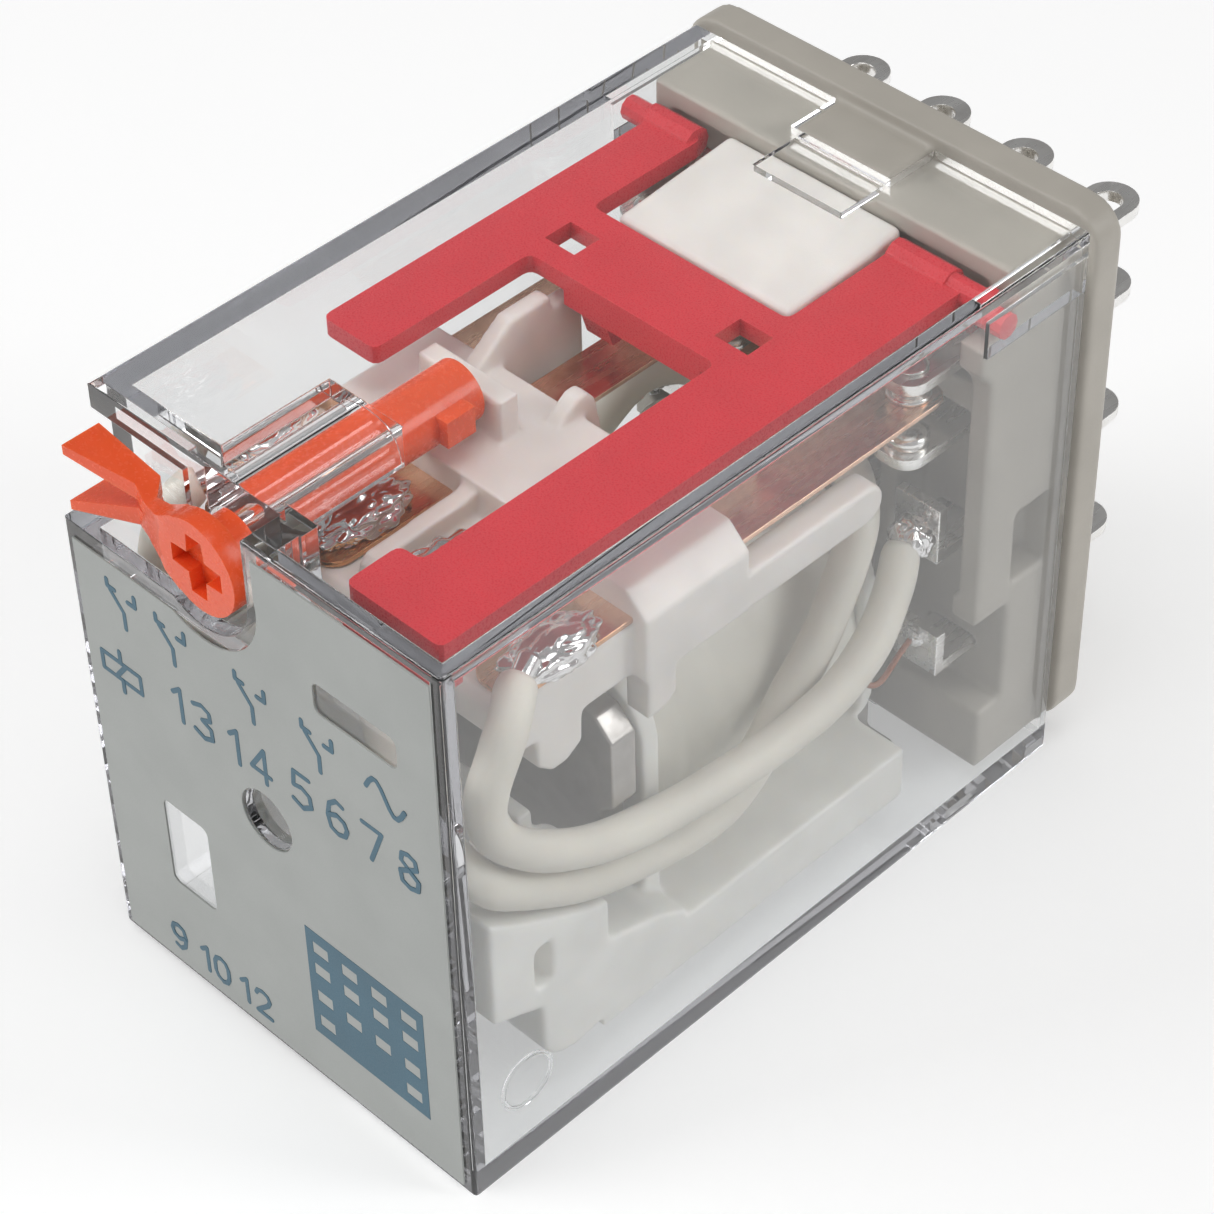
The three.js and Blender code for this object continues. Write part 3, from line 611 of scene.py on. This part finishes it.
def flux_beads(number, place):
    """Amber beads of flux, left in a row where the solder's edge meets the spring."""
    bm = bmesh.new()
    for k in range(BEADS):
        angle = 0.35 * k - 1.2
        across, along = BEAD_OVAL[0] * math.sin(angle), BEAD_OVAL[1] * math.cos(angle)
        spot = place + Vector((across, along, BEAD_LEVEL)) * MM
        size = (0.1 + 0.05 * math.sin(k * 2.3 + number)) * MM
        bmesh.ops.create_icosphere(bm, subdivisions=2, radius=size, matrix=Matrix.Translation(spot))
    made = piece(f"flux_beads_{number}", mesh_of(bm, f"flux_beads_{number}"), FLUX, "armature")


# ---- leads ----
LEAD_RADIUS = 0.8
LEAD_STEPS = 12
OUTER_ROUTE = [
    (7.45, 6.2, 22.6), (7.95, 5.1, 22.35), (8.45, 4.2, 21.6), (8.6, 3.45, 20.5),
    (8.6, 2.85, 19.2), (8.6, 2.75, 17.9), (8.6, 3.5, 16.2), (8.6, 5.5, 14.2),
    (8.6, 8.5, 12.45), (8.55, 12.2, 11.35), (8.55, 16.2, 10.8), (8.6, 19.2, 10.8),
    (8.6, 21.6, 11.2), (8.35, 23.8, 12.1), (7.7, 25.7, 13.2), (7.0, 27.0, 14.3),
]
INNER_ROUTE = [
    (2.4, 5.35, 22.2), (2.6, 4.15, 21.65), (3.2, 3.62, 20.4), (4.4, 3.0, 19.1),
    (5.8, 2.2, 17.6), (7.0, 2.0, 16.0), (8.2, 2.7, 14.4), (8.3, 4.2, 12.95),
    (8.3, 7.6, 10.8), (8.3, 11.4, 9.5), (8.2, 14.4, 8.9), (7.9, 16.6, 8.9),
    (7.35, 18.8, 9.6), (6.98, 20.4, 10.6), (6.9, 22.0, 12.0), (6.6, 23.6, 13.6),
    (5.9, 25.6, 15.6), (4.4, 26.9, 16.4), (2.9, 27.6, 15.9),
]
LEADS = [(OUTER_ROUTE, -1), (INNER_ROUTE, -1), (INNER_ROUTE, 1), (OUTER_ROUTE, 1)]
# steps along a lead: where its sleeve starts and how far the wire reaches in
SLEEVE_START = 9
WIRE_END = SLEEVE_START + 3


def sleeve_radius(t):
    """The sleeving swells a little, and tapers where it ends in the solder."""
    ease = min(1.0, t / 0.03, (1 - t) / 0.02)
    return LEAD_RADIUS * (0.78 + 0.22 * math.sqrt(max(ease, 0.0))) * (1 + 0.012 * math.sin(t * 61))


def wire_radius(t):
    """The tinned wire thins from the solder to the sleeve."""
    return 0.5 - 0.1 * t


def bent_tube(name, mesh, material, replaced=()):
    """A lead's piece, set in world place and riding on no body."""
    made = piece(name, mesh, material, None, replaced)
    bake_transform(made)


def make_leads():
    for number, (route, side) in enumerate(LEADS, 1):
        path = spline([at(side * x, y, z) for x, y, z in route], LEAD_STEPS)
        sleeve = f"lead_sleeve_{number}"
        sleeve_mesh = tube_mesh(sleeve, path[SLEEVE_START:], sleeve_radius)
        bent_tube(sleeve, sleeve_mesh, SLEEVING, [f"flexible_lead_{number}"])
        wire = f"lead_wire_{number}"
        bent_tube(wire, tube_mesh(wire, path[:WIRE_END], wire_radius, 14), SOLDER)
        lug = path[-1] + Vector((0, 0.5, 0)) * MM
        solder_blob(f"lug_solder_{number}", lug, (0.95, 0.9, 0.95), number + 10, "housing")


# ---- label print: contact and coil symbols, pin numbers and a plan of the blades ----
STROKE = 0.11
INK_FRONT = -0.112
INK_BACK = -0.08
INK_STEP = 0.002
# a digit or sign is a list of strokes, each a run of (x, z) points, 1 tall
DIGITS = {
    "0": [[(0.3, 0), (0.1, 0.08), (0, 0.3), (0, 0.7), (0.1, 0.92), (0.3, 1), (0.5, 0.92), (0.6, 0.7),
           (0.6, 0.3), (0.5, 0.08), (0.3, 0)]],
    "1": [[(0.08, 0.78), (0.34, 1), (0.34, 0)]],
    "2": [[(0, 0.76), (0.08, 0.93), (0.3, 1), (0.52, 0.93), (0.6, 0.74), (0.5, 0.52), (0, 0), (0.62, 0)]],
    "3": [[(0, 0.88), (0.3, 1), (0.54, 0.9), (0.56, 0.68), (0.28, 0.54), (0.56, 0.42), (0.58, 0.12),
           (0.3, 0), (0, 0.12)]],
    "4": [[(0.46, 0), (0.46, 1), (0, 0.28), (0.62, 0.28)]],
    "5": [[(0.56, 1), (0.08, 1), (0.04, 0.56), (0.3, 0.62), (0.54, 0.5), (0.58, 0.2), (0.3, 0), (0, 0.12)]],
    "6": [[(0.5, 0.94), (0.3, 1), (0.08, 0.8), (0, 0.4), (0.08, 0.08), (0.3, 0), (0.52, 0.08), (0.6, 0.3),
           (0.52, 0.5), (0.3, 0.58), (0.06, 0.46)]],
    "7": [[(0, 1), (0.6, 1), (0.22, 0)]],
    "8": [[(0.3, 0.54), (0.06, 0.7), (0.1, 0.93), (0.3, 1), (0.5, 0.93), (0.54, 0.7), (0.3, 0.54),
           (0.02, 0.36), (0.06, 0.08), (0.3, 0), (0.54, 0.08), (0.58, 0.36), (0.3, 0.54)]],
}
DIGITS["9"] = [[(0.6 - u, 1 - v) for u, v in stroke] for stroke in DIGITS["6"]]
CHANGEOVER = [[(0.35, 0), (0.35, 0.4), (0.02, 0.78)], [(-0.05, 1), (-0.05, 0.84), (0.15, 0.84)],
              [(0.72, 1), (0.72, 0.76), (0.52, 0.76)]]
COIL_SYMBOL = [[(0, 0.2), (1.5, 0.2), (1.5, 0.8), (0, 0.8), (0, 0.2)], [(0.5, 0.2), (0.95, 0.8)],
               [(0.75, 0.8), (0.75, 1.2)], [(0.75, 0.2), (0.75, -0.2)]]
WAVE = [[(0.1 * k, 0.5 + 0.32 * math.sin(0.2 * math.pi * k)) for k in range(11)]]
# a sign with its left edge, foot and height, in millimetres
SIGNS = [
    (CHANGEOVER, -7.9, 18.5, 2.05), (CHANGEOVER, -5.1, 18.5, 2.05), (CHANGEOVER, -0.7, 18.5, 2.05),
    (CHANGEOVER, 2.9, 18.5, 2.05), (WAVE, 6.1, 18.6, 2.0), (COIL_SYMBOL, -9.0, 15.1, 1.5),
]
# digits with their left edge, foot, height and step
NUMBERS = [
    ("13", -4.9, 15.6, 1.7, 1.3), ("14", -1.7, 15.6, 1.7, 1.3), ("5678", 1.9, 15.8, 1.7, 1.9),
    ("9", -7.0, 1.3, 1.35, 1.0), ("10", -5.3, 1.3, 1.35, 0.9), ("12", -2.9, 1.3, 1.35, 1.0),
]
# the plan of the blades: its left, right, bottom and top, and its rows of blades as shares of its height
PLAN = (1.7, 8.2, 3.0, 9.0)
PLAN_ROWS = ((0.10, 0.20), (0.34, 0.44), (0.60, 0.70), (0.80, 0.90))
PLAN_COLUMNS = 4
BLADE_SHARE = 0.26


def ink_prism(bm, outline, layer=0):
    """A flat printed shape standing a hair proud of the label: outline is (x, z) points, in order."""
    front = [bm.verts.new(at(x, INK_FRONT - INK_STEP * layer, z)) for x, z in outline]
    back = [bm.verts.new(at(x, INK_BACK, z)) for x, z in outline]
    bm.faces.new(front)
    bm.faces.new(back[::-1])
    for i in range(len(outline)):
        j = (i + 1) % len(outline)
        bm.faces.new((front[j], front[i], back[i], back[j]))


def ink_stroke(bm, start, end, layer):
    """One pen stroke with round ends, printed over the strokes of the layers below."""
    lean = math.atan2(end[1] - start[1], end[0] - start[0])
    outline = []
    for centre, turn in ((end, -math.pi / 2), (start, math.pi / 2)):
        for k in range(7):
            angle = lean + turn + math.pi * k / 6
            outline.append((centre[0] + STROKE * math.cos(angle), centre[1] + STROKE * math.sin(angle)))
    ink_prism(bm, outline, layer)


def ink_glyph(bm, glyph, x, z, size):
    layer = 0
    for stroke in glyph:
        points = [(x + size * u, z + size * v) for u, v in stroke]
        for start, end in zip(points, points[1:]):
            ink_stroke(bm, start, end, layer)
            layer += 1


def ink_rect(bm, x0, x1, z0, z1):
    ink_prism(bm, [(x0, z0), (x1, z0), (x1, z1), (x0, z1)])


def blade_plan(bm, left, right, bottom, top):
    """A solid panel that leaves the blades unprinted. The bottom row has only the coil's two."""
    height = top - bottom
    levels = [0.0, *(level for row in PLAN_ROWS for level in row), 1.0]
    for low, high in zip(levels[::2], levels[1::2]):
        ink_rect(bm, left, right, bottom + low * height, bottom + high * height)
    column = (right - left) / PLAN_COLUMNS
    for number, (low, high) in enumerate(PLAN_ROWS):
        edges = [left]
        for c in range(PLAN_COLUMNS):
            if number == 0 and c in (1, 2):
                continue
            middle = left + (c + 0.5) * column
            edges += [middle - BLADE_SHARE * column, middle + BLADE_SHARE * column]
        edges.append(right)
        for x0, x1 in zip(edges[::2], edges[1::2]):
            ink_rect(bm, x0, x1, bottom + low * height, bottom + high * height)


def print_label():
    bm = bmesh.new()
    for sign, x, z, size in SIGNS:
        ink_glyph(bm, sign, x, z, size)
    for text, x, z, size, step in NUMBERS:
        for k, digit in enumerate(text):
            ink_glyph(bm, DIGITS[digit], x + step * k, z, size)
    blade_plan(bm, *PLAN)
    made = piece("label_print", mesh_of(bm, "label_print"), INK, "housing", smooth=False)


# ---- small trim ----
RING_PLACE = at(9.44, 3.3, 3.9)
COIL_WIRE_ROUTE = [
    (5.85, 25.35, 8.2), (6.6, 25.55, 7.4), (6.85, 26.2, 7.2), (6.8, 27.4, 7.9), (6.6, 28.45, 8.1),
]
COIL_WIRE_RADIUS = 0.13
INSULATOR_RISE = 0.55
INSULATOR_ROUND = 0.32


def make_mould_ring():
    """The ring that a moulding pin leaves on the inside of the cover's right wall."""
    ring = [(1.15, 0.0), (1.35, 0.0), (1.3, -0.1), (1.2, -0.1), (1.15, 0.0)]
    made = piece("mould_ring", lathe_mesh("mould_ring", ring, RING_PLACE, "X", 48), CLEAR, "housing")


def make_coil_wires():
    """Enamelled wires from the winding to the two coil lugs, round the bobbin's rear flange."""
    for number, side in enumerate((-1, 1), 1):
        path = spline([at(side * x, y, z) for x, y, z in COIL_WIRE_ROUTE], 8)
        mesh = tube_mesh(f"coil_wire_{number}", path, lambda t: COIL_WIRE_RADIUS, 10)
        made = piece(f"coil_wire_{number}", mesh, ENAMEL, "housing")
        solder_blob(f"coil_solder_{number}", path[-1], (0.5, 0.3, 0.45), number + 20, "housing")


def make_insulator():
    """The white block between the flag's arms: its top slopes up a little towards the base."""
    low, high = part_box("top_insulator")
    middle = (low + high) / 2
    bm = bmesh.new()
    bmesh.ops.create_cube(bm, size=1.0)
    for v in bm.verts:
        v.co = Vector(middle[k] + v.co[k] * (high - low)[k] for k in range(3))
        if v.co.z > middle.z and v.co.y > middle.y:
            v.co.z += INSULATOR_RISE * MM
    bmesh.ops.bevel(bm, geom=bm.edges[:], offset=INSULATOR_ROUND * MM, segments=4, profile=0.5,
                    affect="EDGES")
    made = piece("insulator_block", mesh_of(bm, "insulator_block"), MILKY, "housing", ["top_insulator"])
    weigh_normals(made)


# ---- coil ----
TAPE_LAPS = 5
STEPS_IN_A_LAP = 8
COIL_BORE = 3.7
TAPE_EDGE = 0.5


def make_winding():
    """Tape wound in a slow spiral, each turn lapping the one before."""
    low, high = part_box("taped_winding")
    radius = (high.x - low.x) / 2 / MM
    length = (high.y - low.y) / MM
    profile = [(COIL_BORE, 0), (radius - TAPE_EDGE, 0)]
    steps = TAPE_LAPS * STEPS_IN_A_LAP
    for i in range(steps + 1):
        t = i / steps
        saw = (t * TAPE_LAPS) % 1.0 if i < steps else 1.0
        profile.append((radius - 0.16 + 0.1 * saw + 0.05 * math.sin(math.pi * t), t * length))
    profile += [(radius - TAPE_EDGE, length), (COIL_BORE, length), (COIL_BORE, 0)]
    place = Vector((0, low.y, (low.z + high.z) / 2))
    mesh = lathe_mesh("coil_tape", profile, place, "Y", 72)
    made = piece("coil_tape", mesh, TAPE, "housing", ["taped_winding"])


# ---- the whole object ----
BLOB_SIZE = (1.15, 2.2, 0.85)
BLOB_FOOT = -0.39
BLOB_DROOP = 0.5
# the outer springs' drops hang over the outer edge
LEANS = {1: -1, 4: 1}


def make_spring_solder(number):
    """The drop that joins a spring to its lead, with its flux."""
    low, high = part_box(f"spring_solder_{number}")
    lean = LEANS.get(number, 0)
    place = Vector(((low.x + high.x) / 2, (low.y + high.y) / 2, low.z)) + Vector((0.55 * lean, 0.2, 0.4)) * MM
    solder_blob(f"solder_blob_{number}", place, BLOB_SIZE, number, "armature", [f"spring_solder_{number}"],
                BLOB_FOOT, BLOB_DROOP * lean)
    flux_beads(number, place)


def make_parts():
    soften("terminal_base", BASE_GREY, 0.14, 5)
    refine("front_label", LABEL_GREY, 0.02, 1)
    soften("contact_carrier", MILKY, 0.12, 5)
    soften("coil_bobbin", BOBBIN_WHITE, 0.14, 12)
    refine("indicator_flag", RED, 0.1, 3)
    refine("test_lever", ORANGE, 0.14, 3)
    refine("test_plunger", ORANGE, 0.2, 3)
    refine("armature_plate", IRON, 0.12, 2)
    refine("yoke", IRON, 0.15, 2)
    refine("pole_core", IRON, 0.1, 2)
    refine("shading_ring", COPPER, 0.05, 2)
    refine("hinge_spring", SILVER, 0.03, 1)
    for i in range(1, 5):
        for row in ("nc", "no", "com"):
            refine(f"{row}_terminal_{i}", SILVER, 0.09, 2)
        refine(f"leaf_spring_{i}", SPRING_COPPER, 0.04, 2)
        make_spring_solder(i)
    for i in (1, 2):
        refine(f"coil_terminal_{i}", SILVER, 0.09, 2)


make_camera()
make_stage()
make_parts()
cover_shell()
make_contacts()
make_leads()
make_winding()
make_coil_wires()
make_insulator()
make_mould_ring()
print_label()
